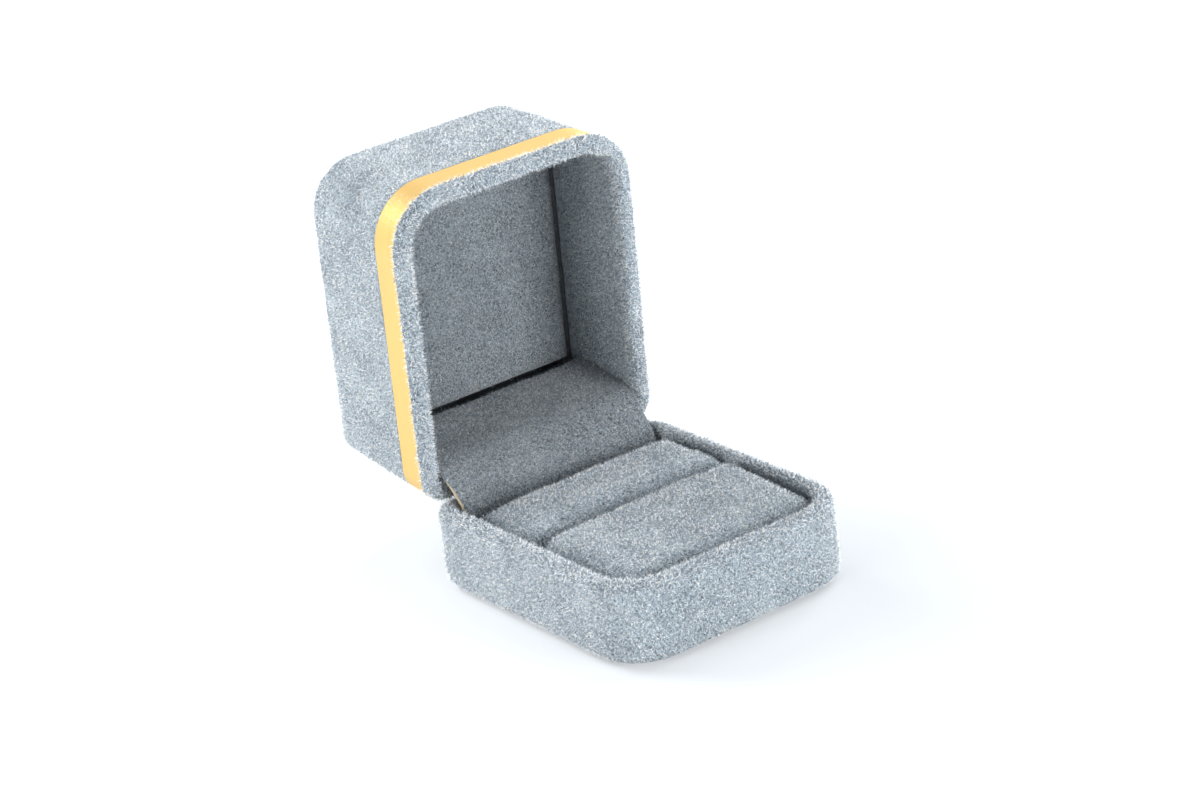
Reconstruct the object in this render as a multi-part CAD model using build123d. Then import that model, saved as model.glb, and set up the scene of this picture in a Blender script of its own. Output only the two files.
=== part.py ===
"""Velvet-covered ring box with a two-pin hinge, standing open, in millimetres.

Origin: centre of the underside, on the surface that the box stands on.
+X is the box's right-hand side, -Y its front, +Y the hinge side, +Z up.

Both halves are drawn the same way up: rim in the XY plane, closed end towards +Z. The base is
then turned over and stood on its closed end, and the lid is set above it and swung open.
"""

from build123d import *
import os
from math import atan, atan2, cos, degrees, radians, sin, sqrt

# ---- outside of the box ----
box_width = 52.0
box_depth = 60.0
base_height = 15.6
lid_height = 31.5
front_corner_radius = 10.6
back_corner_radius = 5.0
least_corner_radius = 1.0    # on pieces that lie far inside the walls
lid_narrowing = 1.0          # each lid wall leans in this much between its rim and its top
lid_top_round = 3.4
base_bottom_round = 1.6
rim_outer_round = 1.6
rim_inner_round = 0.7

# ---- walls and sheets ----
velvet = 0.8                 # cloth with its pile
shell_wall = 1.4
shell_end = 1.6              # lid top and base floor
card = 0.5
board = 1.0
sole_velvet = 0.7
sole_inset = 1.4
turn_in = 4.0                # velvet turned over a rim and down its inside
turn_under = 6.0             # velvet turned under the base
fit_gap = 0.2                # round a loose piece that drops into place
soft_gap = 0.3               # round foam and between pieces that move past each other
film_gap = 0.01              # behind a strip that is glued on, and round a pressed-in pin

# ---- hinge ----
pin_radius = 0.45
knuckle_radius = 0.75
leaf_thickness = 0.4
spring_thickness = 0.3
pin_inset = 3.0              # pin's axis to the outside of the back wall
pin_depth = 5.0              # pin's axis to the rim of its half
closed_gap = 0.8             # between the two rims when shut
open_angle = 86.0
running_gap = 0.05           # round a pin in a knuckle that turns
end_gap = 0.1                # between neighbouring knuckles
leaf_half_width = 17.0
outer_knuckle = 7.0
middle_knuckle = 7.0
link_bulge = 4.3             # the curved link stands this far off the line of its pins
cover_half_width = 21.8
cover_end_gap = 0.5          # cover to the knuckles at the two ends of the link
leaf_margin = 0.6            # leaf past the edge of the spring riveted to it
rivet_spacing = 13.0
rivet_radius = 0.7
rivet_head_radius = 1.3
rivet_head_height = 0.4
rivet_grip = 0.9             # length of rivet in the shell's wall, less than the wall
tongue_width = 4.0
spring_width = 3.2

# ---- pads and linings ----
slot_position = 1.0          # middle of the slot between the two pads
slot_width = 1.6
pad_crown = 1.2              # top of a pad above the base's rim
pad_arch_along = 1.2         # fall of a pad's top from its middle to its long edges
pad_arch_across = 1.4        # the same, to its short ends
pad_edge_round = 1.8
pad_corner_round = 2.4
hinge_spacer_height = 4.3
band_start = 1.4             # gold band, from the lid's rim
band_width = 6.2
band_thickness = 0.25
panel_depth = 18.9           # flat panel inside the lid, from the rim
panel_gap = 0.5              # dark seam round that panel
panel_edge_round = 0.6
frame_wall = 2.4             # card frame that holds the panel off the lid's top
back_lining_depth = 7.0      # face of the lining over the hinge, from the lid's outer back face

# ---- sizes that follow ----
rim_thickness = velvet + shell_wall + velvet
cavity_inset = velvet + shell_wall
base_depth = base_height - sole_velvet
base_floor = base_depth - velvet - shell_end
board_start = base_floor - board
leaf_reach = board_start - soft_gap - pin_depth          # from the pin towards the closed end
rivet_reach = leaf_reach - leaf_margin - spring_width / 2
lid_ceiling = lid_height - velvet - shell_end
panel_back = panel_depth + velvet + board
front_edge = -box_depth / 2
back_edge = box_depth / 2
pin_y = back_edge - pin_inset
leaf_face = back_edge - cavity_inset
spring_face = leaf_face - leaf_thickness
head_face = spring_face - spring_thickness
head_top = head_face - rivet_head_height
half_angle = open_angle / 2
link_length = 2 * pin_depth + closed_gap
link_radius = ((link_length / 2) ** 2 + link_bulge**2) / (2 * link_bulge)
link_centre_y = pin_y + link_radius - link_bulge
link_centre_z = -closed_gap / 2
plate_outer_radius = link_radius + leaf_thickness / 2
card_outer_radius = plate_outer_radius + card
cover_radius = card_outer_radius + velvet
pin_sweep = degrees(atan2(link_length / 2, link_radius - link_bulge))
cover_sweep = pin_sweep - degrees((knuckle_radius + cover_end_gap) / link_radius)
rear_pad_end = link_centre_y - cover_radius - soft_gap
knuckle_x = middle_knuckle / 2 + end_gap, leaf_half_width - outer_knuckle - end_gap
base_half = (base_depth, 0.0, base_bottom_round)
lid_half = (lid_height, lid_narrowing, lid_top_round)


# ---- shapes that several pieces share ----
def plan(inset):
    """Outline of the box from above, pulled in by inset."""
    front_radius = max(front_corner_radius - inset, least_corner_radius)
    back_radius = max(back_corner_radius - inset, least_corner_radius)
    outline = Rectangle(box_width - 2 * inset, box_depth - 2 * inset)
    outline = fillet(outline.vertices().group_by(Axis.Y)[0], front_radius)
    return fillet(outline.vertices().group_by(Axis.Y)[-1], back_radius)


def block(half, inset, start, end):
    """Solid inside one half, its walls pulled in by inset, from start to end above the rim."""
    height, narrowing, _ = half
    lean = narrowing / height
    outline = Pos(0, 0, start) * plan(inset + lean * start)
    return extrude(outline, amount=end - start, taper=degrees(atan(lean)))


def slab(half_width, y_low, y_high, z_low, z_high):
    """Plain block, the same to the left and right."""
    middle = Pos(0, (y_low + y_high) / 2, (z_low + z_high) / 2)
    return middle * Box(2 * half_width, y_high - y_low, z_high - z_low)


def bar_across(radius, x_low, x_high, z):
    """Round bar along X in the line of a hinge pin."""
    return Pos((x_low + x_high) / 2, pin_y, z) * Rot(0, 90, 0) * Cylinder(radius, x_high - x_low)


def bar_through(radius, x, y_low, y_high, z):
    """Round bar along Y through the back wall."""
    return Pos(x, (y_low + y_high) / 2, z) * Rot(90, 0, 0) * Cylinder(radius, y_high - y_low)


def rounded_half(half, inset):
    """Whole outside of one half, pulled in by inset, with its closed end and rim rounded."""
    height, _, end_round = half
    solid = block(half, inset, inset, height - inset)
    solid = fillet(solid.edges().group_by(Axis.Z)[-1], end_round - inset)
    return fillet(solid.edges().group_by(Axis.Z)[0], rim_outer_round - inset)


# ---- shells and the velvet over them ----
def shell(half):
    """Moulded plastic half, with a flat seat and three blind holes for its hinge leaf."""
    height = half[0]
    solid = rounded_half(half, velvet)
    solid -= block(half, cavity_inset, 0, height - velvet - shell_end)
    seat_start = pin_depth - knuckle_radius
    seat_end = pin_depth + leaf_reach + fit_gap
    solid -= slab(leaf_half_width + fit_gap, 0, leaf_face, seat_start, seat_end)
    for x in (-rivet_spacing, 0, rivet_spacing):
        hole_end = leaf_face + rivet_grip + film_gap
        solid -= bar_through(rivet_radius + film_gap, x, 0, hole_end, pin_depth + rivet_reach)
    return solid


def wrap(half):
    """Velvet over the outside of a shell, round its rim and a little way down its inside."""
    height = half[0]
    solid = rounded_half(half, 0) - rounded_half(half, velvet)
    mouth = block(half, rim_thickness, 0, turn_in)
    solid -= mouth
    turned = block(half, cavity_inset, rim_outer_round, turn_in) - mouth
    turned += block(half, cavity_inset, 0, 2 * rim_outer_round) - mouth
    solid += turned & block(half, 0, velvet, turn_in)
    rim_face = solid.faces().sort_by(Axis.Z)[0]
    return fillet(rim_face.inner_wires()[0].edges(), rim_inner_round)


# ---- hinge, drawn in the rim frame that both halves share ----
def arc_strip(inner, outer, sweep, x_low, x_high):
    """Curved strip about the link's centre, sweep degrees to each side of straight forward."""
    section = Plane.YZ * make_ring_sector(inner, outer, sweep)
    strip = extrude(section, amount=x_high - x_low)
    return Pos(x_low, link_centre_y, link_centre_z) * strip


def make_ring_sector(inner, outer, sweep):
    """Face between two radii, centred on the direction of the box's front."""
    def corner(radius, angle):
        return radius * cos(radians(angle)), radius * sin(radians(angle))

    first, last = 180 - sweep, 180 + sweep
    edges = CenterArc((0, 0), outer, first, 2 * sweep)
    edges += Line(corner(outer, last), corner(inner, last))
    edges += CenterArc((0, 0), inner, first, 2 * sweep)
    edges += Line(corner(inner, first), corner(outer, first))
    return make_face(edges)


def cover_reach(depth):
    """Height above a rim that the shut hinge cover reaches, at a depth from the back face."""
    out = link_centre_y - (back_edge - depth)
    return link_centre_z + sqrt((cover_radius + soft_gap) ** 2 - out**2)


def leaf_knuckles():
    """Where a leaf's three knuckles start and end along X."""
    outer_start = leaf_half_width - outer_knuckle
    return (
        (-leaf_half_width, -outer_start),
        (-middle_knuckle / 2, middle_knuckle / 2),
        (outer_start, leaf_half_width),
    )


def hinge_leaf():
    """Steel leaf against the back wall, rolled into three knuckles round its pin."""
    plate_start = pin_depth + knuckle_radius + soft_gap
    plate_end = pin_depth + leaf_reach
    leaf = slab(leaf_half_width, spring_face, leaf_face, plate_start, plate_end)
    for low, high in leaf_knuckles():
        tab = slab((high - low) / 2, spring_face, leaf_face, pin_depth, plate_start)
        leaf += Pos((low + high) / 2, 0, 0) * tab
        leaf += bar_across(knuckle_radius, low, high, pin_depth)
        leaf -= bar_across(pin_radius + film_gap, low, high, pin_depth)
    for x in (-rivet_spacing, 0, rivet_spacing):
        hole = rivet_radius + film_gap
        leaf -= bar_through(hole, x, spring_face, leaf_face, pin_depth + rivet_reach)
    return leaf


def hinge_pin():
    """Steel pin through the knuckles of one half."""
    return bar_across(pin_radius, -leaf_half_width, leaf_half_width, pin_depth)


def leaf_rivets():
    """Three rivets through spring and leaf into the shell's wall."""
    z = pin_depth + rivet_reach
    rivets = []
    for x in (-rivet_spacing, 0, rivet_spacing):
        shank = bar_through(rivet_radius, x, head_face, leaf_face + rivet_grip, z)
        rivets.append(shank + bar_through(rivet_head_radius, x, head_top, head_face, z))
    return Compound(children=rivets)


def snap_spring():
    """Flat steel spring on the leaf, its two tongues bearing towards the link's knuckles."""
    z = pin_depth + rivet_reach
    half_width = rivet_spacing + rivet_head_radius
    spring = slab(half_width, head_face, spring_face, z - spring_width / 2, z + spring_width / 2)
    tongue_end = pin_depth + knuckle_radius + soft_gap
    tongue = slab(tongue_width / 2, head_face, spring_face, tongue_end, z)
    for x in (-sum(knuckle_x) / 2, sum(knuckle_x) / 2):
        spring += Pos(x, 0, 0) * tongue
    for x in (-rivet_spacing, 0, rivet_spacing):
        spring -= bar_through(rivet_radius + film_gap, x, head_face, spring_face, z)
    return spring


def link_plate():
    """Curved steel link that bulges into the box, so that it clears both rims when open."""
    inner = link_radius - leaf_thickness / 2
    low, high = knuckle_x
    plate = arc_strip(inner, plate_outer_radius, cover_sweep, -leaf_half_width, leaf_half_width)
    pin_heights = (pin_depth, -closed_gap - pin_depth)
    for start, end in ((-high, -low), (low, high)):
        plate += arc_strip(inner, plate_outer_radius, pin_sweep, start, end)
        for z in pin_heights:
            plate += bar_across(knuckle_radius, start, end, z)
    for z in pin_heights:
        plate -= bar_across(pin_radius + running_gap, -high, high, z)
    return plate


def cover_layer(inner, outer):
    """One layer of the cover that hides the link."""
    return arc_strip(inner, outer, cover_sweep, -cover_half_width, cover_half_width)


# ---- pads in the base, drawn in place ----
def pad(y_low, y_high, skin):
    """Crowned pad between two places along the box, less the skin of velvet round it."""
    low, high = y_low + skin, y_high - skin
    bottom = base_height - board_start
    top = base_height + pad_crown - skin
    strip = Pos(0, (low + high) / 2) * Rectangle(box_width, high - low)
    footprint = plan(rim_thickness + soft_gap + skin) & strip
    sharp = [v for v in footprint.vertices() if v.Y > front_edge + front_corner_radius]
    footprint = fillet(sharp, pad_corner_round - skin)
    solid = extrude(Pos(0, 0, bottom) * footprint, amount=top - bottom + pad_crown)
    solid &= crowned(y_low, y_high, top)
    crown_face = solid.faces().sort_by(Axis.Z)[-1]
    return fillet(crown_face.edges(), pad_edge_round - skin)


def crowned(y_low, y_high, top):
    """Block whose top is arched both along and across the box."""
    half_width = box_width / 2 - rim_thickness
    half_length = (y_high - y_low) / 2
    radius = (half_length**2 + pad_arch_along**2) / (2 * pad_arch_along)
    axis_z = top - radius
    end_z = top - pad_arch_across
    edges = ThreePointArc((-half_width, end_z), (0, top), (half_width, end_z))
    edges += Line((half_width, end_z), (half_width, axis_z))
    edges += Line((half_width, axis_z), (-half_width, axis_z))
    edges += Line((-half_width, axis_z), (-half_width, end_z))
    middle_y = (y_low + y_high) / 2
    section = Pos(0, middle_y, 0) * (Plane.XZ * make_face(edges))
    return revolve(section, Axis((0, middle_y, axis_z), (1, 0, 0)), 360)


# ---- putting the halves in place ----
def stood(solid):
    """Base piece, turned over so that it stands on its closed end."""
    return Pos(0, 0, base_height) * mirror(solid, about=Plane.XY)


def swung(solid, pin_z):
    """Solid turned back by half the opening angle about a hinge pin."""
    return solid.rotate(Axis((0, pin_y, pin_z), (1, 0, 0)), -half_angle)


def above_base(solid):
    """Piece of the shut lid or link, lifted from the lid's rim frame to its height."""
    return Pos(0, 0, base_height + closed_gap) * solid


def with_link(solid):
    """Link piece, swung open about the base's pin."""
    return swung(above_base(solid), base_height - pin_depth)


def with_lid(solid):
    """Lid piece, swung open about the lid's pin and then with the link."""
    shut = swung(above_base(solid), base_height + closed_gap + pin_depth)
    return swung(shut, base_height - pin_depth)


parts = {}

# ---- base ----
base_wrap = wrap(base_half)
base_wrap -= block(base_half, turn_under, base_depth - velvet, base_depth)
parts["base_shell"] = stood(shell(base_half))
parts["base_wrap"] = stood(base_wrap)

sole_board = Pos(0, 0, sole_velvet) * plan(turn_under + fit_gap)
parts["base_sole_board"] = extrude(sole_board, amount=velvet)
sole = extrude(plan(sole_inset), amount=sole_velvet)
parts["base_sole_velvet"] = fillet(sole.edges().group_by(Axis.Z)[0], sole_velvet / 2)

parts["pad_board"] = stood(block(base_half, cavity_inset + fit_gap, board_start, base_floor))

front_pad = (front_edge + rim_thickness + soft_gap, slot_position - slot_width / 2)
rear_pad = (slot_position + slot_width / 2, rear_pad_end)
for name, (start, end) in (("front_pad", front_pad), ("rear_pad", rear_pad)):
    foam = pad(start, end, velvet)
    parts[f"{name}_foam"] = foam
    parts[f"{name}_velvet"] = pad(start, end, 0) - foam

spacer_start = board_start - hinge_spacer_height
spacer = slab(box_width / 2, rear_pad_end + fit_gap, head_top - fit_gap, spacer_start, board_start)
spacer &= block(base_half, cavity_inset + soft_gap, spacer_start, board_start)
parts["base_hinge_spacer"] = stood(spacer)

# ---- hinge, the same leaf, pin, rivets and spring in each half ----
for name, place in (("base", stood), ("lid", with_lid)):
    parts[f"{name}_hinge_leaf"] = place(hinge_leaf())
    parts[f"{name}_hinge_pin"] = place(hinge_pin())
    parts[f"{name}_leaf_rivets"] = place(leaf_rivets())
    parts[f"{name}_snap_spring"] = place(snap_spring())

parts["hinge_link_plate"] = with_link(link_plate())
parts["hinge_cover_card"] = with_link(cover_layer(plate_outer_radius, card_outer_radius))
parts["hinge_cover_velvet"] = with_link(cover_layer(card_outer_radius, cover_radius))

# ---- lid ----
parts["lid_shell"] = with_lid(shell(lid_half))
parts["lid_wrap"] = with_lid(wrap(lid_half))

band_end = band_start + band_width
band = block(lid_half, -film_gap - band_thickness, band_start, band_end)
band -= block(lid_half, -film_gap, band_start, band_end)
parts["trim_band"] = with_lid(band)

lining_y = back_edge - back_lining_depth
lining_start = turn_in + fit_gap
side_lining = block(lid_half, cavity_inset, lining_start, panel_back)
side_lining -= block(lid_half, rim_thickness, lining_start, panel_back)
side_lining -= slab(box_width, lining_y - fit_gap, back_edge, lining_start, panel_back)
parts["lid_side_lining"] = with_lid(side_lining)

panel = block(lid_half, rim_thickness + panel_gap, panel_depth, panel_back)
panel -= slab(box_width, lining_y - panel_gap, back_edge, panel_depth, panel_back)
panel_board = block(lid_half, rim_thickness + panel_gap + velvet, panel_depth + velvet, panel_back)
board_end = lining_y - panel_gap - velvet
panel_board -= slab(box_width, board_end, back_edge, panel_depth, panel_back)
panel = fillet(panel.edges().group_by(Axis.Z)[0], panel_edge_round)
parts["lid_panel_board"] = with_lid(panel_board)
parts["lid_panel_velvet"] = with_lid(panel - panel_board)

frame_inset = cavity_inset + soft_gap
frame = block(lid_half, frame_inset, panel_back, lid_ceiling)
frame -= block(lid_half, frame_inset + frame_wall, panel_back, lid_ceiling)
parts["lid_panel_frame"] = with_lid(frame)

card_depth = back_lining_depth - velvet
back_start = cover_reach(card_depth - card)
back_space = block(lid_half, rim_thickness + fit_gap, back_start, panel_back)
card_y = back_edge - card_depth
lining = slab(box_width, lining_y, card_y, back_start, panel_back)
parts["lid_back_velvet"] = with_lid(lining & back_space)
lining_card = slab(box_width, card_y, card_y + card, back_start, panel_back)
parts["lid_back_card"] = with_lid(lining_card & back_space)

over_leaf = head_top - fit_gap
spacer_start = cover_reach(back_edge - over_leaf)
leaf_end = pin_depth + leaf_reach + fit_gap
spacer = slab(box_width, card_y + card, over_leaf, spacer_start, leaf_end)
spacer += slab(box_width, card_y + card, back_edge, leaf_end, panel_back)
spacer &= block(lid_half, cavity_inset + soft_gap, spacer_start, panel_back)
parts["lid_hinge_spacer"] = with_lid(spacer)

# ---- written files ----
os.makedirs("parts", exist_ok=True)
for name, solid in parts.items():
    export_step(solid, f"parts/{name}.step")

opened_pin = Vector(0, 0, link_length).rotate(Axis.X, -half_angle)
print("base pin", round(pin_y, 4), round(base_height - pin_depth, 4))
print("lid pin", round(pin_y + opened_pin.Y, 4), round(base_height - pin_depth + opened_pin.Z, 4))
print("nodes", len(parts))
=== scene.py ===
"""Velvet ring box standing open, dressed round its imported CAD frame. Metres, in the frame's axes.

+X is the box's right-hand side, -Y its front, +Y the hinge side, +Z up. The sections follow the
box as it is put together: base, pads, hinge, lid, and then the table and the light.
"""

from math import cos, radians, sin

import bmesh
import bpy
from mathutils import Matrix, Vector
from mathutils.bvhtree import BVHTree


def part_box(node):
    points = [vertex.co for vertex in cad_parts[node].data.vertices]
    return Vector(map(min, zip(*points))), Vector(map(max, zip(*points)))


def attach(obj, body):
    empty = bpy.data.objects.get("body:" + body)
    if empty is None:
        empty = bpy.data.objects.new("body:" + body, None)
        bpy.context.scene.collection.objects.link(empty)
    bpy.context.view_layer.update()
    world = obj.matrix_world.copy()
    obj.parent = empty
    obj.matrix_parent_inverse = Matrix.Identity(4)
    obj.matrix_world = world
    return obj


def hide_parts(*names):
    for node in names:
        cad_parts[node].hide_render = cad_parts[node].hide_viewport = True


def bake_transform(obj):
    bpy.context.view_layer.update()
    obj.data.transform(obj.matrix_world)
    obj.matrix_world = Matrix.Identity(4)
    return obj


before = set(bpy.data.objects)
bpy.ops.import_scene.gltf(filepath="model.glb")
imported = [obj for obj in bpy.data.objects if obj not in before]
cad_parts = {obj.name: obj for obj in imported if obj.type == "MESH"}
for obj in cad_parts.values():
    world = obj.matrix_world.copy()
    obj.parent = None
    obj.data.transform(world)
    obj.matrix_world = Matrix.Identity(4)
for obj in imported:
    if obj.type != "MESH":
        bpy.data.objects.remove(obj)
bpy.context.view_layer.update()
mm = 0.001
micron = 0.001 * mm

# ---- shells ----
# Both halves start as injection-moulded shells of grey plastic. Velvet covers all of them, so
# they show only in the narrow gap between the rims at the hinge.


def add(tree, kind, values=(), **settings):
    """New node in a tree; values go to its inputs, by name, as numbers or as links."""
    node = tree.nodes.new(kind)
    for name, value in settings.items():
        setattr(node, name, value)
    for name, value in dict(values).items():
        if isinstance(value, bpy.types.NodeSocket):
            tree.links.new(value, node.inputs[name])
        else:
            node.inputs[name].default_value = value
    return node


def new_material(name, roughness, **even):
    """Material with its shader, its node tree and the piece's own coordinates."""
    material = bpy.data.materials.new(name)
    material.use_nodes = True
    tree = material.node_tree
    shader = tree.nodes["Principled BSDF"]
    shader.inputs["Roughness"].default_value = roughness
    for socket, value in even.items():
        shader.inputs[socket.replace("_", " ")].default_value = value
    where = add(tree, "ShaderNodeTexCoord").outputs["Object"]
    return material, tree, shader, where


def colour_between(tree, mask, dark, light):
    """Colour that goes from dark to light as a mask goes from 0 to 1."""
    mix = add(tree, "ShaderNodeMix", data_type="RGBA")
    tree.links.new(mask, mix.inputs["Factor"])
    mix.inputs[6].default_value = (*dark, 1)
    mix.inputs[7].default_value = (*light, 1)
    return mix.outputs[2]


def raise_surface(tree, shader, height, depth):
    """Bump of a given depth on a shader."""
    bump = add(tree, "ShaderNodeBump", {"Height": height, "Strength": 1.0, "Distance": depth})
    tree.links.new(bump.outputs["Normal"], shader.inputs["Normal"])


def paint(material, *pieces):
    """One material all over each piece."""
    for piece in pieces:
        piece.data.materials.clear()
        piece.data.materials.append(material)


plastic, tree, shader, where = new_material("grey_moulded_plastic", 0.55)
grain = add(tree, "ShaderNodeTexNoise", {"Vector": where, "Scale": 4000, "Detail": 3})
flow = add(tree, "ShaderNodeTexNoise", {"Vector": where, "Scale": 90, "Detail": 2})
shade = colour_between(tree, flow.outputs["Fac"], (0.03, 0.033, 0.036), (0.05, 0.054, 0.058))
tree.links.new(shade, shader.inputs["Base Color"])
raise_surface(tree, shader, grain.outputs["Fac"], 0.02 * mm)
paint(plastic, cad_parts["base_shell"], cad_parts["lid_shell"])

# ---- velvet of the base ----
# Blue-grey velvet of about 0.8 mm, glued over the outside of the base, rolled over the rim and
# turned down inside it. Its short pile lies in every direction and catches the light at its tips.
ground_dark = (0.055, 0.075, 0.09)
ground_light = (0.42, 0.49, 0.54)
pile_shades = ((0.0, (0.10, 0.13, 0.16)), (0.45, (0.50, 0.58, 0.66)),
               (0.86, (0.84, 0.91, 0.97)), (1.0, (0.90, 0.84, 0.76)))
cloth_voxel = 0.6 * mm
join_distance = 2 * micron
tuft_length, tuft_radius = 0.9 * mm, 0.07 * mm
tuft_rise, tuft_bend, tuft_droop = 0.36 * tuft_length, 0.35 * tuft_length, 0.1 * tuft_length
cover_below, cover_reach = 0.25 * mm, 0.75 * mm
fringe_from = 14.0 * mm


def brushed_patches(tree, where, depth):
    """Paler and darker patches where the pile has been brushed, from -depth to +depth."""
    patches = add(tree, "ShaderNodeTexNoise",
                  {"Vector": where, "Scale": 130, "Detail": 3, "Roughness": 0.6})
    return add(tree, "ShaderNodeMapRange",
               {"Value": patches.outputs["Fac"], "From Min": 0.3, "From Max": 0.7,
                "To Min": -depth, "To Max": depth}).outputs[0]


def nap_group():
    """Mottling of a short pile: curled fibres, dark pits between them and brushed patches."""
    group = bpy.data.node_groups.new("short_nap", "ShaderNodeTree")
    for name, kind in (("Where", "Vector"), ("Dark", "Color"), ("Light", "Color")):
        group.interface.new_socket(name, in_out="INPUT", socket_type="NodeSocket" + kind)
    group.interface.new_socket("Colour", in_out="OUTPUT", socket_type="NodeSocketColor")
    group.interface.new_socket("Height", in_out="OUTPUT", socket_type="NodeSocketFloat")
    given = add(group, "NodeGroupInput").outputs
    curls = add(group, "ShaderNodeTexNoise",
                {"Vector": given["Where"], "Scale": 2300, "Detail": 4, "Roughness": 0.62,
                 "Distortion": 0.9})
    specks = add(group, "ShaderNodeTexVoronoi", {"Vector": given["Where"], "Scale": 3600})
    sharp = add(group, "ShaderNodeMapRange",
                {"Value": curls.outputs["Fac"], "From Min": 0.33, "From Max": 0.67})
    speck = add(group, "ShaderNodeMapRange",
                {"Value": specks.outputs["Distance"], "From Min": 0.1, "From Max": 0.7,
                 "To Min": 0.16, "To Max": -0.16})
    total = add(group, "ShaderNodeMath",
                {0: sharp.outputs[0], 1: brushed_patches(group, given["Where"], 0.11)})
    total = add(group, "ShaderNodeMath", {0: total.outputs[0], 1: speck.outputs[0]},
                use_clamp=True)
    mix = add(group, "ShaderNodeMix", {"Factor": total.outputs[0]}, data_type="RGBA")
    group.links.new(given["Dark"], mix.inputs[6])
    group.links.new(given["Light"], mix.inputs[7])
    made = add(group, "NodeGroupOutput").inputs
    group.links.new(mix.outputs[2], made["Colour"])
    group.links.new(total.outputs[0], made["Height"])
    return group


short_nap = nap_group()


def velvet_material(name, dark, light):
    """Velvet seen between its tufts."""
    material, tree, shader, where = new_material(
        name, 0.9, Sheen_Weight=0.35, Sheen_Roughness=0.45, Specular_IOR_Level=0.15)
    nap = add(tree, "ShaderNodeGroup", node_tree=short_nap)
    tree.links.new(where, nap.inputs["Where"])
    nap.inputs["Dark"].default_value = (*dark, 1)
    nap.inputs["Light"].default_value = (*light, 1)
    tree.links.new(nap.outputs["Colour"], shader.inputs["Base Color"])
    raise_surface(tree, shader, nap.outputs["Height"], 0.22 * mm)
    return material


def tuft_material(name, tone=1.0):
    """The tufts themselves: locks of a few tufts share a shade, and the palest have warm tips."""
    material, tree, shader, where = new_material(
        name, 0.85, Sheen_Weight=0.25, Sheen_Roughness=0.5, Specular_IOR_Level=0.2)
    # tuft_shade: each tuft's own random shade, lowered near creases and seams as painted shade.
    own = add(tree, "ShaderNodeAttribute", attribute_name="tuft_shade").outputs["Fac"]
    locks = add(tree, "ShaderNodeTexNoise", {"Vector": where, "Scale": 1900, "Detail": 1})
    lock = add(tree, "ShaderNodeMapRange",
               {"Value": locks.outputs["Fac"], "From Min": 0.36, "From Max": 0.64,
                "To Min": -0.6, "To Max": 0.6})
    total = add(tree, "ShaderNodeMath",
                {0: lock.outputs[0], 1: brushed_patches(tree, where, 0.12)})
    total = add(tree, "ShaderNodeMath", {0: total.outputs[0], 1: own}, use_clamp=True)
    ramp = add(tree, "ShaderNodeValToRGB", {"Fac": total.outputs[0]})
    stops = ramp.color_ramp.elements
    stops = (stops[0], stops.new(0.5), stops.new(0.8), stops[-1])
    # A tone below 1 darkens every colour of the ramp, as painted shade.
    for (place, colour), stop in zip(pile_shades, stops):
        stop.position = place
        stop.color = (*(tone * c for c in colour), 1)
    tree.links.new(ramp.outputs["Color"], shader.inputs["Base Color"])
    return material


velvet = velvet_material("blue_grey_velvet", ground_dark, ground_light)
tufts = tuft_material("blue_grey_pile")


def new_piece(name, mesh, material):
    """Object at the origin with a finished mesh."""
    piece = bpy.data.objects.new(name, mesh)
    bpy.context.scene.collection.objects.link(piece)
    paint(material, piece)
    mesh.shade_smooth()
    return piece


def from_form(name, form, material):
    """Piece made of a bmesh, which is then given up."""
    bmesh.ops.recalc_face_normals(form, faces=form.faces)
    mesh = bpy.data.meshes.new(name)
    form.to_mesh(mesh)
    form.free()
    return new_piece(name, mesh, material)


def settle(piece):
    """The piece's modifiers, made part of its mesh."""
    view = bpy.context.evaluated_depsgraph_get()
    mesh = bpy.data.meshes.new_from_object(piece.evaluated_get(view))
    piece.modifiers.clear()
    old, piece.data = piece.data, mesh
    bpy.data.meshes.remove(old)
    mesh.shade_smooth()


def knit_evenly(piece, voxel):
    """One closed skin of even faces round everything in the piece."""
    knit = piece.modifiers.new("even_mesh", "REMESH")
    knit.mode = "VOXEL"
    knit.voxel_size = voxel
    knit.use_smooth_shade = True


def roughen(piece, size, strength):
    """Soft unevenness of cloth, as dents and rises of a given size."""
    clouds = bpy.data.textures.get(f"clouds_{size:.5f}")
    if clouds is None:
        clouds = bpy.data.textures.new(f"clouds_{size:.5f}", "CLOUDS")
        clouds.noise_scale = size
        clouds.noise_depth = 2
    wave = piece.modifiers.new("uneven", "DISPLACE")
    wave.texture = clouds
    wave.texture_coords = "LOCAL"
    wave.strength = strength
    wave.mid_level = 0.5


def cloth_over(name, covered, material, voxel=cloth_voxel):
    """Velvet of the form of one or more CAD nodes, as one slightly uneven cloth in their place."""
    form = bmesh.new()
    for node in covered:
        form.from_mesh(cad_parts[node].data)
    bmesh.ops.remove_doubles(form, verts=form.verts, dist=join_distance)
    piece = from_form(name, form, material)
    knit_evenly(piece, voxel)
    roughen(piece, 5 * mm, 0.16 * mm)
    roughen(piece, 1.1 * mm, 0.18 * mm)
    settle(piece)
    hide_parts(*covered)
    return piece


def tuft_form():
    """One tuft of pile: a three-sided point, bent over at its tip."""
    form = bmesh.new()
    bmesh.ops.create_cone(form, segments=3, radius1=tuft_radius, radius2=0, depth=tuft_length,
                          cap_ends=True)
    bmesh.ops.remove_doubles(form, verts=form.verts, dist=micron)
    bmesh.ops.translate(form, verts=form.verts, vec=(0, 0, tuft_rise))
    tip = [v for v in form.verts if v.co.z > tuft_length / 2]
    bmesh.ops.translate(form, verts=tip, vec=(tuft_bend, 0, -tuft_droop))
    mesh = bpy.data.meshes.new("tuft")
    form.to_mesh(mesh)
    form.free()
    tuft = bpy.data.objects.new("tuft", mesh)
    bpy.context.scene.collection.objects.link(tuft)
    return tuft


near_nodes = {}


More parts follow.
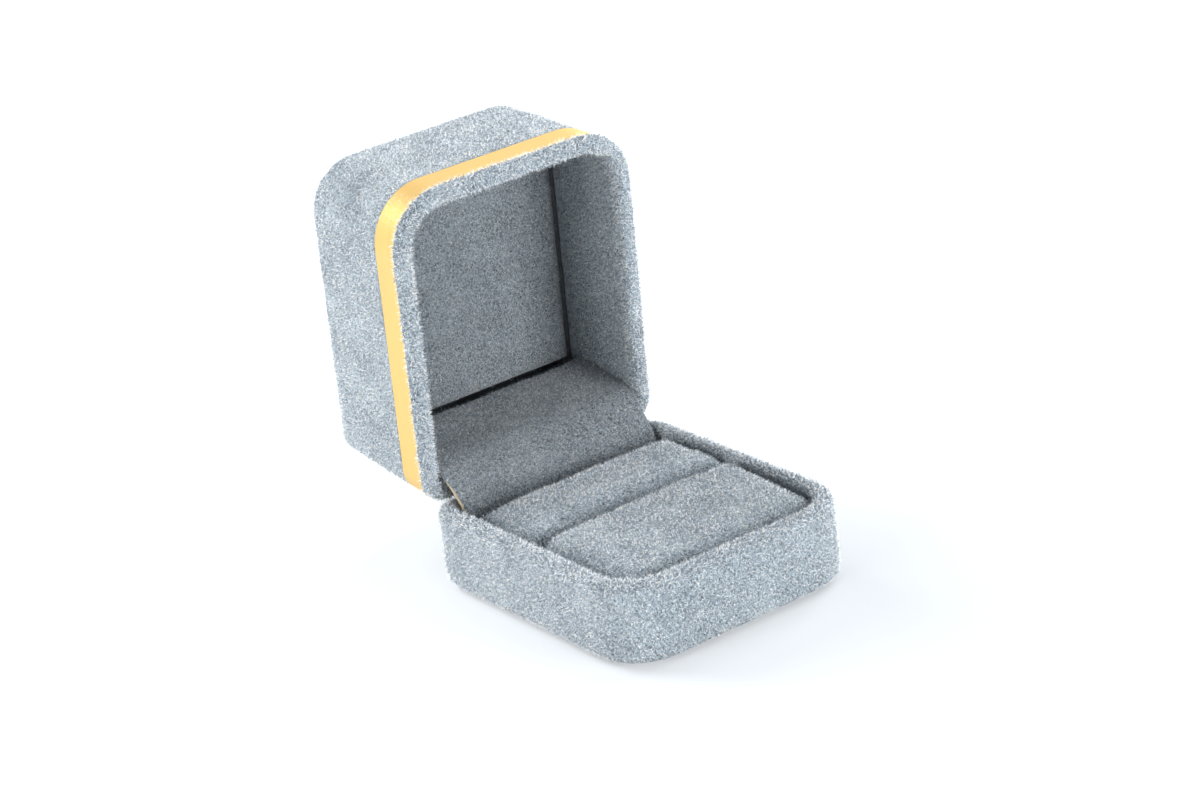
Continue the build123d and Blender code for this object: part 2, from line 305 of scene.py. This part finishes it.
def tree_of(node):
    """Search tree over a CAD node, made once."""
    if node not in near_nodes:
        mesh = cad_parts[node].data
        near_nodes[node] = BVHTree.FromPolygons([v.co for v in mesh.vertices],
                                                [tuple(f.vertices) for f in mesh.polygons])
    return near_nodes[node]


def grow_pile(name, cloth, behind, per_mm2, seed, material=tufts, lean=62, long=1.0, keep=None):
    """Pile on the free side of a cloth: no tuft grows where one of the given nodes is close."""
    sides = [tree_of(node) for node in behind]
    mesh = cloth.data.copy()
    free = mesh.attributes.new("free", "BOOLEAN", "FACE")
    for face in mesh.polygons:
        start = face.center - face.normal * cover_below
        free.data[face.index].value = (keep is None or keep(face.center)) and all(
            side.ray_cast(start, face.normal, cover_reach)[0] is None for side in sides)
    piece = new_piece(name, mesh, material)
    tuft = tuft_form()
    tree = bpy.data.node_groups.new(name, "GeometryNodeTree")
    tree.interface.new_socket("Cloth", in_out="INPUT", socket_type="NodeSocketGeometry")
    tree.interface.new_socket("Pile", in_out="OUTPUT", socket_type="NodeSocketGeometry")
    given = add(tree, "NodeGroupInput").outputs
    grows = add(tree, "GeometryNodeInputNamedAttribute", {"Name": "free"}, data_type="BOOLEAN")
    density = add(tree, "ShaderNodeValue").outputs[0]
    density.default_value = per_mm2 * 1e6 * 1
    roots = add(tree, "GeometryNodeDistributePointsOnFaces",
                {"Mesh": given["Cloth"], "Selection": grows.outputs["Attribute"],
                 "Density": density, "Seed": seed})
    angles = add(tree, "FunctionNodeRandomValue", {"Seed": seed + 1}, data_type="FLOAT_VECTOR")
    angles.inputs["Min"].default_value = (-radians(lean), -radians(lean), 0)
    angles.inputs["Max"].default_value = (radians(lean), radians(lean), radians(360))
    turn = add(tree, "FunctionNodeEulerToRotation", {"Euler": angles.outputs["Value"]})
    turned = add(tree, "FunctionNodeRotateRotation",
                 {"Rotation": roots.outputs["Rotation"], "Rotate By": turn.outputs[0]},
                 rotation_space="LOCAL")
    size = add(tree, "FunctionNodeRandomValue", {"Seed": seed + 2}, data_type="FLOAT_VECTOR")
    size.inputs["Min"].default_value = (0.6, 0.6, 0.55 * long)
    size.inputs["Max"].default_value = (1.15, 1.15, 1.25 * long)
    shape = add(tree, "GeometryNodeObjectInfo", {"Object": tuft})
    pile = add(tree, "GeometryNodeInstanceOnPoints",
               {"Points": roots.outputs["Points"], "Instance": shape.outputs["Geometry"],
                "Rotation": turned.outputs[0], "Scale": size.outputs["Value"]})
    shade = add(tree, "FunctionNodeRandomValue", {"Seed": seed + 3}, data_type="FLOAT")
    marked = add(tree, "GeometryNodeStoreNamedAttribute",
                 {"Geometry": pile.outputs["Instances"], "Name": "tuft_shade",
                  "Value": shade.outputs[1]}, data_type="FLOAT", domain="INSTANCE")
    made = add(tree, "GeometryNodeRealizeInstances", {"Geometry": marked.outputs["Geometry"]})
    done = add(tree, "GeometryNodeSetMaterial",
               {"Geometry": made.outputs["Geometry"], "Material": material})
    tree.links.new(done.outputs["Geometry"], add(tree, "NodeGroupOutput").inputs["Pile"])
    grow = piece.modifiers.new("grow", "NODES")
    grow.node_group = tree
    settle(piece)
    bpy.data.objects.remove(tuft)
    bpy.data.node_groups.remove(tree)
    return piece


base_velvet = cloth_over("base_velvet", ("base_wrap",), velvet)
beside = ("base_shell", "front_pad_velvet", "rear_pad_velvet")
base_pile = grow_pile("base_pile", base_velvet, (*beside, "base_sole_velvet"),
                      per_mm2=6.0, seed=10)
base_fringe = grow_pile("base_rim_fringe", base_velvet, beside, per_mm2=9.0, seed=15, lean=45,
                        long=1.3, keep=lambda place: place.z > fringe_from)
for piece in (base_velvet, base_pile, base_fringe):
    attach(piece, "base")

# ---- sole ----
# A sheet of the same velvet under the base hides the edges of the wrap and the card in between.
# The weight of the box presses its pile flat, so it has no standing tufts.


def board_material(name, roughness, gloss, fibre, dark, light):
    """Card or board of pressed fibres."""
    material, tree, shader, where = new_material(name, roughness, Specular_IOR_Level=gloss)
    fibres = add(tree, "ShaderNodeTexNoise", {"Vector": where, "Detail": 4, **fibre})
    tree.links.new(colour_between(tree, fibres.outputs["Fac"], dark, light),
                   shader.inputs["Base Color"])
    raise_surface(tree, shader, fibres.outputs["Fac"], 0.04 * mm)
    return material


card = board_material("tan_card", 0.8, 0.25, {"Scale": 2600, "Roughness": 0.7},
                      (0.30, 0.21, 0.12), (0.66, 0.52, 0.34))
paint(card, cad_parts["base_sole_board"])
sole = cloth_over("sole_velvet", ("base_sole_velvet",), velvet, 0.5 * mm)
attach(sole, "base")

# ---- boards behind the seams ----
# The board under the pads, the frame behind the lid's flat panel and the stiffener of the lining
# beside it are of board coloured nearly black as painted shade, so the seams round the pads and
# the panel look black.
board = board_material("board_painted_seam_shade", 0.9, 0.15, {"Scale": 2100},
                       (0.04, 0.045, 0.05), (0.10, 0.11, 0.12))
paint(board, *[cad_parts[n] for n in ("pad_board", "lid_panel_frame", "lid_back_card")])

# ---- pads ----
# Two foam pads in velvet stand one behind the other on the pad board, with the slot for a ring
# between them. Each is crowned, highest beside the slot, and tucked in under the rim all round.
cushion_corner, cushion_voxel = 1.1 * mm, 0.75 * mm
pad_back_radius = 2.0 * mm
edge_reach, edge_fall = 3.0 * mm, 1.7 * mm
crevice, front_crevice = 0.35 * mm, 0.6 * mm
# Reach and depth of the painted shade on the pile along the pads' crevices.
crease_reach, crease_shade = 1.6 * mm, 0.7
pad_puff, pad_held = 0.55 * mm, 1.0 * mm
sim_scale, sim_frames, sim_pressure = 20.0, 20, 4
touch = 0.01 * mm


def cushion_form(low, high, front_radius):
    """Closed block in the pad's place, its plan and its top edge rounded, ready to be crowned."""
    form = bmesh.new()
    bmesh.ops.create_grid(form, x_segments=1, y_segments=1, size=0.5)
    size = high - low
    middle = (low + high) / 2
    bmesh.ops.scale(form, verts=form.verts, vec=(size.x, size.y, 1))
    bmesh.ops.translate(form, verts=form.verts, vec=(middle.x, middle.y, low.z))
    for front, radius in ((True, front_radius), (False, pad_back_radius)):
        corners = [v for v in form.verts if (v.co.y < middle.y) == front
                   and abs(abs(v.co.x - middle.x) - size.x / 2) < touch
                   and min(abs(v.co.y - low.y), abs(v.co.y - high.y)) < touch]
        bmesh.ops.bevel(form, geom=corners, offset=radius, offset_type="OFFSET", segments=8,
                        profile=0.5, affect="VERTICES", material=-1)
    raised = bmesh.ops.extrude_face_region(form, geom=form.faces[:])["geom"]
    bmesh.ops.translate(form, verts=[g for g in raised if isinstance(g, bmesh.types.BMVert)],
                        vec=(0, 0, size.z))
    top = [e for e in form.edges if all(v.co.z > high.z - touch for v in e.verts)]
    bmesh.ops.bevel(form, geom=top, offset=cushion_corner, offset_type="OFFSET", segments=6,
                    profile=0.5, affect="EDGES", material=-1)
    return form


def crown(piece, low, high, ridge, fall_front, fall_back, fall_sides):
    """Lowers the top away from a ridge across the pad, and more at its sides and outer edge."""
    half = (high.x - low.x) / 2
    for vertex in piece.data.vertices:
        up = min(max((vertex.co.z - low.z) / (high.z - low.z), 0), 1)
        out = vertex.co.y - ridge
        reach, fall = (high.y - ridge, fall_back) if out > 0 else (ridge - low.y, fall_front)
        drop = fall * (out / reach) ** 2 + fall_sides * (abs(vertex.co.x) / half) ** 3
        outer = vertex.co.y - low.y if fall_front > fall_back else high.y - vertex.co.y
        near = max(1 - min(half - abs(vertex.co.x), outer) / edge_reach, 0)
        vertex.co.z -= up ** 2 * (drop + edge_fall * min(near, 1) ** 2)


def puff(piece, low):
    """Lets the cover swell under the pressure of its foam, and keeps a limited share of it."""
    start = [v.co.copy() for v in piece.data.vertices]
    piece.data.transform(Matrix.Scale(sim_scale, 4))
    held = piece.vertex_groups.new(name="held")
    held.add([i for i, co in enumerate(start) if co.z < low.z + pad_held], 1.0, "REPLACE")
    cloth = piece.modifiers.new("cover", "CLOTH")
    cloth.settings.use_pressure = True
    cloth.settings.uniform_pressure_force = sim_pressure
    cloth.settings.quality = 5
    cloth.settings.vertex_group_mass = "held"
    cloth.settings.effector_weights.gravity = 0
    scene = bpy.context.scene
    for number in range(1, sim_frames + 1):
        scene.frame_set(number)
    settle(piece)
    scene.frame_set(1)
    for vertex, rest in zip(piece.data.vertices, start):
        move = vertex.co / sim_scale - rest
        vertex.co = rest + move * min(1, pad_puff / max(move.length, 1e-9))


def subdivide(piece, levels, kind="CATMULL_CLARK"):
    """Finer mesh, the same in every view."""
    finer = piece.modifiers.new("finer", "SUBSURF")
    finer.levels = finer.render_levels = levels
    finer.subdivision_type = kind


def paint_crease_shade(pile, distance, reach, amount=1.0):
    """Painted shade in a crease: the tufts' shade is lowered, the more the nearer they stand to it.
    """
    shades = pile.data.attributes["tuft_shade"].data
    for vertex, shade in zip(pile.data.vertices, shades):
        near = min(max(1 - distance(vertex.co) / reach, 0), 1)
        shade.value -= amount * near ** 2


def make_cushion(pad, front_radius, ridge, falls, front_gap, neighbour, seed):
    """Pad in place of its two CAD nodes, with its pile."""
    low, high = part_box(f"{pad}_velvet")
    low, high = low + Vector((crevice, front_gap, 0)), high - Vector((crevice, 0, pad_puff / 2))
    piece = from_form(f"{pad}_cushion", cushion_form(low, high, front_radius), velvet)
    knit_evenly(piece, cushion_voxel)
    settle(piece)
    crown(piece, low, high, ridge, *falls)
    puff(piece, low)
    smooth = piece.modifiers.new("soften", "SMOOTH")
    smooth.factor, smooth.iterations = 0.5, 3
    subdivide(piece, 1)
    roughen(piece, 6 * mm, 0.35 * mm)
    roughen(piece, 1.1 * mm, 0.18 * mm)
    settle(piece)
    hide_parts(f"{pad}_velvet", f"{pad}_foam")
    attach(piece, "base")
    pile = grow_pile(f"{pad}_pile", piece, ("pad_board", "base_wrap", neighbour),
                     per_mm2=6.5, seed=seed)
    # Painted shade: the pile darkens towards the pad's sides, and the front pad's also towards its
    # front.
    front = low.y if front_gap else -1
    paint_crease_shade(pile, lambda place: min(high.x - abs(place.x), place.y - front),
                 crease_reach, crease_shade)
    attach(pile, "base")


make_cushion("front_pad", front_radius=7.0 * mm, ridge=-1.8 * mm,
             falls=(1.5 * mm, 0, 0.7 * mm), front_gap=front_crevice,
             neighbour="rear_pad_velvet", seed=20)
make_cushion("rear_pad", front_radius=2.0 * mm, ridge=8.0 * mm,
             falls=(0.9 * mm, 0.9 * mm, 0.7 * mm), front_gap=0,
             neighbour="front_pad_velvet", seed=30)

# ---- hinge ----
# Two steel leaves are riveted inside the back walls, each with a pin and a flat snap spring. A
# curved steel link joins the pins, and its bulge keeps it clear of both rims as the lid swings.


def drawn_metal(name, roughness, metallic, stretch, colours, rough, depth):
    """Metal with fine lines: stretch sets their run, and they vary its colour and roughness."""
    material, tree, shader, where = new_material(name, roughness, Metallic=metallic)
    lines = add(tree, "ShaderNodeMapping", {"Vector": where, **stretch})
    drawn = add(tree, "ShaderNodeTexNoise", {"Vector": lines.outputs[0], "Scale": 1, "Detail": 3})
    tree.links.new(colour_between(tree, drawn.outputs["Fac"], *colours),
                   shader.inputs["Base Color"])
    spread = add(tree, "ShaderNodeMapRange",
                 {"Value": drawn.outputs["Fac"], "To Min": rough[0], "To Max": rough[1]})
    tree.links.new(spread.outputs[0], shader.inputs["Roughness"])
    raise_surface(tree, shader, drawn.outputs["Fac"], depth)
    return material


steel = drawn_metal("bright_steel", 0.32, 1.0, {"Scale": (300, 9000, 9000)},
                    ((0.42, 0.42, 0.43), (0.66, 0.66, 0.67)), (0.22, 0.45), 0.006 * mm)
paint(steel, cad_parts["hinge_link_plate"],
      *[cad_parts[f"{half}_{part}"] for half in ("base", "lid")
        for part in ("hinge_leaf", "hinge_pin", "leaf_rivets", "snap_spring")])

# ---- foam behind the hinge ----
# Blocks of grey open-cell foam fill the space round the leaves, behind the rear pad and behind
# the lining of the lid. They are cut with a knife and pushed in.
foam, tree, shader, where = new_material("grey_foam", 0.95, Specular_IOR_Level=0.1)
cells = add(tree, "ShaderNodeTexVoronoi", {"Vector": where, "Scale": 2200})
shade = colour_between(tree, cells.outputs["Distance"], (0.09, 0.10, 0.11), (0.36, 0.38, 0.40))
tree.links.new(shade, shader.inputs["Base Color"])
raise_surface(tree, shader, cells.outputs["Distance"], 0.2 * mm)
for node, body in (("base_hinge_spacer", "base"), ("lid_hinge_spacer", "lid")):
    block = cloth_over(node.replace("spacer", "foam"), (node,), foam, 0.7 * mm)
    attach(block, body)

# ---- hinge velvet ----
# One strip of velvet runs out of the crevice behind the rear pad, over the card on the link, and
# on into the lid up to the flat panel. It bends where the lid turns on the link.
strip_profile = ((23.3, 10.4), (22.8, 12.2), (23.0, 14.0), (23.95, 15.8), (25.3, 17.5),
                 (27.1, 19.2), (29.3, 20.9), (32.0, 22.1), (35.4, 22.7), (39.5, 23.4),
                 (44.3, 24.4), (46.7, 24.6), (47.5, 23.9), (47.8, 22.9))
strip_end = strip_profile[-2][0] * mm
strip_thickness, strip_steps = 0.8 * mm, 16
# Painted shade: copies of the pile and the velvet at 0.6 of their colour, for the shaded strip and
# panel inside the lid.
inner_shade_tone = 0.6
pile_in_painted_shade = tuft_material("pile_painted_shade", inner_shade_tone)
velvet_in_painted_shade = velvet_material("velvet_painted_shade", [inner_shade_tone * c for c in ground_dark],
                              [inner_shade_tone * c for c in ground_light])
link_half, lid_half = 21.8 * mm, 23.1 * mm
lid_start, lid_end = 25.8 * mm, 30.8 * mm
edge_curl, curl_from = 0.7 * mm, 0.86
seam_bare, seam_shade = 0.5 * mm, 3.5 * mm


def sort_by_place(form):
    """Parts in order of place, because the operators leave them in another order on each run."""
    def rank(place):
        return sum(round(part / micron) * weight for part, weight in zip(place, (1e10, 1e5, 1)))

    form.verts.sort(key=lambda vertex: rank(vertex.co))
    form.edges.sort(key=lambda edge: rank((edge.verts[0].co + edge.verts[1].co) / 2))
    form.faces.sort(key=lambda face: rank(face.calc_center_median()))


def strip_form(line, thickness, steps):
    """A profile drawn out across the box, and thickened towards the hinge pins."""
    form = bmesh.new()
    row = [form.verts.new((-link_half, y * mm, z * mm)) for y, z in line]
    edges = [form.edges.new(pair) for pair in zip(row, row[1:])]
    for _ in range(steps):
        grown = bmesh.ops.extrude_edge_only(form, edges=edges)["geom"]
        moved = [g for g in grown if isinstance(g, bmesh.types.BMVert)]
        edges = [g for g in grown if isinstance(g, bmesh.types.BMEdge)]
        bmesh.ops.translate(form, verts=moved, vec=(2 * link_half / steps, 0, 0))
    bmesh.ops.recalc_face_normals(form, faces=form.faces)
    if sum(f.normal.z for f in form.faces) < 0:
        bmesh.ops.reverse_faces(form, faces=form.faces)
    bmesh.ops.solidify(form, geom=form.faces[:], thickness=thickness)
    sort_by_place(form)
    return form


def widen_in_lid(form):
    """The part inside the lid reaches out to its side walls and curls up a little at them."""
    for vertex in form.verts:
        share = min(max((vertex.co.y - lid_start) / (lid_end - lid_start), 0), 1)
        vertex.co.x *= 1 + share * (lid_half / link_half - 1)
        side = min(max((abs(vertex.co.x) / link_half - curl_from) / (1 - curl_from), 0), 1)
        vertex.co.z += share * edge_curl * side ** 2


form = strip_form(strip_profile, strip_thickness, strip_steps)
widen_in_lid(form)
hinge_velvet = from_form("hinge_velvet", form, velvet_in_painted_shade)
subdivide(hinge_velvet, 3)
roughen(hinge_velvet, 6 * mm, 0.3 * mm)
roughen(hinge_velvet, 1.1 * mm, 0.18 * mm)
settle(hinge_velvet)
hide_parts("hinge_cover_velvet", "lid_back_velvet")
hinge_pile = grow_pile("hinge_pile", hinge_velvet, ("hinge_link_plate", "lid_back_card"),
                       per_mm2=6.0, seed=40, material=pile_in_painted_shade,
                       keep=lambda place: place.y < strip_end - seam_bare)
# Painted shade: the strip's pile darkens towards its end at the panel's seam.
paint_crease_shade(hinge_pile, lambda place: strip_end - place.y, seam_shade)
for piece in (hinge_velvet, hinge_pile):
    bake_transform(piece)

# ---- hinge card ----
# The strip is glued to a flexible piece of tan card that arches over the steel link. Its raw cut
# edge shows at the left and right of the hinge as a thin pale line.
card_thickness, card_steps = 0.5 * mm, 4
glue_overlap = 0.05


def set_back(line, depth):
    """The same line, moved towards the hinge pins by a depth in millimetres."""
    moved = []
    for (y, z), before, after in zip(line, line[:1] + line[:-1], line[1:] + line[-1:]):
        along = Vector((after[0] - before[0], after[1] - before[1])).normalized()
        moved.append((y + along.y * depth, z - along.x * depth))
    return tuple(moved)


card_profile = set_back(strip_profile[2:8], strip_thickness / mm - glue_overlap)
hinge_card = from_form("hinge_card", strip_form(card_profile, card_thickness, card_steps), card)
subdivide(hinge_card, 2, "SIMPLE")
settle(hinge_card)
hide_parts("hinge_cover_card")
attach(hinge_card, "link")

# ---- lid ----
# The lid is wrapped in the same velvet as the base, rolled over its rim, and its four walls are
# lined inside down to the flat panel. The pile stands up as a soft fringe along the rim.
open_angle = radians(86)
lid_axis = Vector((0, sin(open_angle), cos(open_angle)))
lid_pin, pin_depth = Vector((0, 34.3656, 18.4986)) * mm, 5.0 * mm
rim_middle = lid_pin - pin_depth * lid_axis
rim_bulge, rim_height, rim_steepness = 0.5 * mm, 1.7 * mm, 2.5
band_press, band_margin = 0.2 * mm, 0.1 * mm
pleat = Vector((20.6, 69.4)) * mm
pleat_width, pleat_sink, pleat_depth = 1.3 * mm, 1.1 * mm, 7 * mm
cavity_half, cavity_low, cavity_high, cavity_depth = 24.2 * mm, 22 * mm, 74 * mm, 25 * mm
lining_end, lining_shade_end = 18.5 * mm, 18.9 * mm
rim_bare, rim_fringe_depth = 1.0 * mm, 2.4 * mm


def above_rim(place):
    """How far into the lid a point lies, from the plane of its rim."""
    return (place - rim_middle).dot(lid_axis)


def inside(place):
    """Whether a point of the lid's cloth is on the inner side of a wall."""
    return (abs(place.x) < cavity_half and cavity_low < place.z < cavity_high
            and above_rim(place) < cavity_depth)


band_depths = [above_rim(v.co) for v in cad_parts["trim_band"].data.vertices]
band_low, band_high = min(band_depths) + band_margin, max(band_depths) - band_margin
lid_velvet = cloth_over("lid_velvet", ("lid_wrap", "lid_side_lining"), velvet)
normals = [v.normal.copy() for v in lid_velvet.data.vertices]
for vertex, normal in zip(lid_velvet.data.vertices, normals):
    depth = above_rim(vertex.co)
    sideways = normal - normal.dot(lid_axis) * lid_axis
    outside = sideways.x * vertex.co.x > 0 or sideways.z > 0.5
    if depth < rim_height and outside and sideways.z > -0.5:
        vertex.co += sideways * rim_bulge * min(1, (1 - depth / rim_height) * rim_steepness)
    elif band_low < depth < band_high and outside:
        vertex.co -= sideways * band_press
    off_pleat = (Vector((vertex.co.x, vertex.co.z)) - pleat).length
    if depth < pleat_depth and off_pleat < pleat_width:
        vertex.co -= normal * pleat_sink * (1 - off_pleat / pleat_width)
lid_pile = grow_pile("lid_pile", lid_velvet, ("lid_shell", "trim_band"), per_mm2=5.0, seed=50,
                     keep=lambda place: above_rim(place) > rim_bare and not inside(place))
lining_pile = grow_pile("lid_lining_pile", lid_velvet, ("lid_shell",), per_mm2=5.5, seed=60,
                        keep=lambda place: rim_bare < above_rim(place) < lining_end
                        and inside(place))
lid_fringe = grow_pile("lid_rim_fringe", lid_velvet, ("lid_shell", "trim_band"), per_mm2=10.0,
                       seed=55, lean=45, long=1.3,
                       keep=lambda place: above_rim(place) < rim_fringe_depth)

# ---- flat panel of the lid ----
# A board wrapped in velvet closes the top of the lid's inside, with a dark seam all round it. A
# frame of card holds it off the top of the shell. Its velvet is darker than the rest, as painted
# shade, and darker still towards its edges.
panel_low, panel_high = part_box("lid_panel_velvet")
panel_middle = (panel_low + panel_high) / 2
panel_edge, panel_fall, panel_inset = 3.8 * mm, 1.5 * mm, 0.1 * mm
panel_cut, panel_cuts = 2.0 * mm, 12


def edge_distance(place):
    """How far a point of the panel lies in from the panel's edge."""
    return min(panel_high.x - abs(place.x), place.z - panel_low.z, panel_high.z - place.z)


def round_over(piece):
    """The panel's edges, turned back into the lid and drawn in from its walls."""
    shrink = 1 - 2 * panel_inset / (panel_high.z - panel_low.z)
    for vertex in piece.data.vertices:
        place = vertex.co
        near = edge_distance(place)
        place += lid_axis * panel_fall * min(max(1 - near / panel_edge, 0), 1) ** 2
        place.x *= 1 - panel_inset / panel_high.x
        place.z = panel_middle.z + (place.z - panel_middle.z) * shrink


panel = cloth_over("lid_panel_cloth", ("lid_panel_velvet",), velvet_in_painted_shade)
round_over(panel)
form = bmesh.new()
form.from_mesh(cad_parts["lid_panel_board"].data)
bmesh.ops.remove_doubles(form, verts=form.verts, dist=join_distance)
for axis in (Vector((1, 0, 0)), lid_axis.cross(Vector((1, 0, 0)))):
    for step in range(-panel_cuts, panel_cuts + 1):
        bmesh.ops.bisect_plane(form, geom=form.verts[:] + form.edges[:] + form.faces[:],
                               plane_co=panel_middle + panel_cut * step * axis, plane_no=axis)
panel_board = from_form("lid_panel_backing", form, card)
round_over(panel_board)
panel_board.data.shade_flat()
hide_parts("lid_panel_board")
panel_pile = grow_pile("lid_panel_pile", panel, ("lid_panel_board",), per_mm2=6.0, seed=70,
                       material=pile_in_painted_shade, keep=lambda place: edge_distance(place) > seam_bare)
# Painted shade: the panel's pile darkens towards its edges, the lining's towards its end at the
# panel.
paint_crease_shade(panel_pile, edge_distance, seam_shade)
paint_crease_shade(lining_pile, lambda place: lining_shade_end - above_rim(place), seam_shade)
for piece in (lid_velvet, lid_pile, lining_pile, lid_fringe, panel, panel_board, panel_pile):
    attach(piece, "lid")

# ---- gold band ----
# A thin strip of satin gold plastic is glued round the lid a little way in from its rim. Its
# surface is drawn along its length, with faint lines.
gold = drawn_metal("satin_gold", 0.48, 0.95,
                   {"Rotation": (radians(4), 0, 0), "Scale": (60, 5200, 60)},
                   ((0.71, 0.46, 0.155), (0.84, 0.595, 0.225)), (0.40, 0.56), 0.01 * mm)
band_sink, lid_middle = 0.16 * mm, 27.0 * mm
lid_reach = Vector((26, 30, 30)) * mm
form = bmesh.new()
form.from_mesh(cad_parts["trim_band"].data)
bmesh.ops.remove_doubles(form, verts=form.verts, dist=join_distance)
for vertex in form.verts:
    sideways = vertex.co - rim_middle - above_rim(vertex.co) * lid_axis
    sideways.z -= lid_middle
    vertex.co -= band_sink * Vector([part / reach for part, reach in zip(sideways, lid_reach)])
band = from_form("gold_band", form, gold)
band.data.shade_flat()
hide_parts("trim_band")
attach(band, "lid")

# ---- table ----
# A wide white table top carries the box and runs out into a white background. It is shown nearly
# pure white, and keeps the box's soft shadow.


def seen_directly(tree):
    """1 for what the camera sees, in mirrors and glass too, and 0 for rays that carry light."""
    path = add(tree, "ShaderNodeLightPath").outputs
    seen = add(tree, "ShaderNodeMath", {0: path["Is Camera Ray"], 1: path["Is Glossy Ray"]})
    return add(tree, "ShaderNodeMath", {0: seen.outputs[0], 1: path["Is Transmission Ray"]},
               use_clamp=True).outputs[0]


table, tree, shader, where = new_material("white_table", 0.9, Specular_IOR_Level=0.1)
wear = add(tree, "ShaderNodeTexNoise", {"Vector": where, "Scale": 14, "Detail": 2})
glow = add(tree, "ShaderNodeEmission", {"Color": (1, 1, 1, 1), "Strength": 1.0})
seen = seen_directly(tree)
shade = colour_between(tree, wear.outputs["Fac"], (0.86, 0.87, 0.88), (0.90, 0.91, 0.92))
tone = add(tree, "ShaderNodeMix", {"Factor": seen, 6: shade}, data_type="RGBA")
tone.inputs[7].default_value = (0.54, 0.575, 0.61, 1)
tree.links.new(tone.outputs[2], shader.inputs["Base Color"])
far = add(tree, "ShaderNodeVectorMath", {0: where}, operation="LENGTH")
own = add(tree, "ShaderNodeMapRange", {"Value": far.outputs["Value"], "From Min": 0.2,
                                       "From Max": 0.6, "To Min": 0.35, "To Max": 1.0})
share = add(tree, "ShaderNodeMath", {0: seen, 1: own.outputs[0]}, operation="MULTIPLY")
both = add(tree, "ShaderNodeMixShader", {0: share.outputs[0]})
tree.links.new(shader.outputs[0], both.inputs[1])
tree.links.new(glow.outputs[0], both.inputs[2])
tree.links.new(both.outputs[0], tree.nodes["Material Output"].inputs["Surface"])
form = bmesh.new()
bmesh.ops.create_circle(form, cap_ends=True, radius=3.0, segments=96)
table_top = from_form("table_top", form, table)

# ---- light ----
# A white room lights the box from all round, with four large soft windows: one low on the left,
# one low in front, one high on the right and one behind that leaves the pads in the lid's shade.
# A small weak one behind gives the band its glint.
world = bpy.data.worlds.new("white_room")
bpy.context.scene.world = world
world.use_nodes = True
tree = world.node_tree
tree.links.new(colour_between(tree, seen_directly(tree), (0.50, 0.52, 0.54), (1, 1, 1)),
               tree.nodes["Background"].inputs["Color"])


def soft_window(name, place, size, power, colour):
    """Square area light that faces the middle of the box."""
    lamp = bpy.data.lights.new(name, "AREA")
    lamp.size, lamp.energy, lamp.color = size, power, colour
    holder = bpy.data.objects.new(name, lamp)
    bpy.context.scene.collection.objects.link(holder)
    holder.location = place
    aim = Vector((0, 0.01, 0.03)) - Vector(place)
    holder.rotation_euler = aim.to_track_quat("-Z", "Y").to_euler()
    return holder


soft_window("left_window", (-0.98, -0.02, 0.24), 0.6, 10.0, (1.0, 0.995, 0.99))
soft_window("front_window", (0.36, -0.92, 0.10), 0.6, 22.0, (0.98, 0.99, 1.0))
soft_window("right_window", (0.74, 0.10, 0.66), 0.6, 9.0, (1.0, 1.0, 1.0))
back_window = soft_window("back_window", (-0.20, 0.82, 0.50), 0.6, 19.0, (1.0, 1.0, 1.0))
back_window.visible_glossy = False
soft_window("glint_window", (-0.36, 0.75, 0.50), 0.35, 1.0, (1.0, 1.0, 1.0))
bpy.context.scene.view_settings.view_transform = "Standard"

# ---- camera ----
# The camera stands in front and to the left, a little above the box, and is tilted sideways as
# in the photo. Its place and focal length in pixels were fitted to the photo's lines.
azimuth, elevation, roll = radians(-33.60), radians(22.04), radians(-8.00)
target = Vector((-5.44, -0.44, 37.34)) * mm
distance = 575.2 * mm
focal_pixels, photo_pixels, sensor = 3262.8, 1200, 36.0
back = Vector((sin(azimuth) * cos(elevation), -cos(azimuth) * cos(elevation), sin(elevation)))
right = (-back).cross(Vector((0, 0, 1))).normalized()
up = right.cross(-back)
across = right * cos(roll) + up * sin(roll)
upward = up * cos(roll) - right * sin(roll)
lens = bpy.data.cameras.new("camera")
lens.sensor_width = sensor
lens.lens = focal_pixels / photo_pixels * sensor
lens.clip_start, lens.clip_end = 0.01, 20.0
camera = bpy.data.objects.new("camera", lens)
bpy.context.scene.collection.objects.link(camera)
pose = Matrix((across, upward, back)).transposed().to_4x4()
pose.translation = target + back * distance
camera.matrix_world = pose
bpy.context.scene.camera = camera
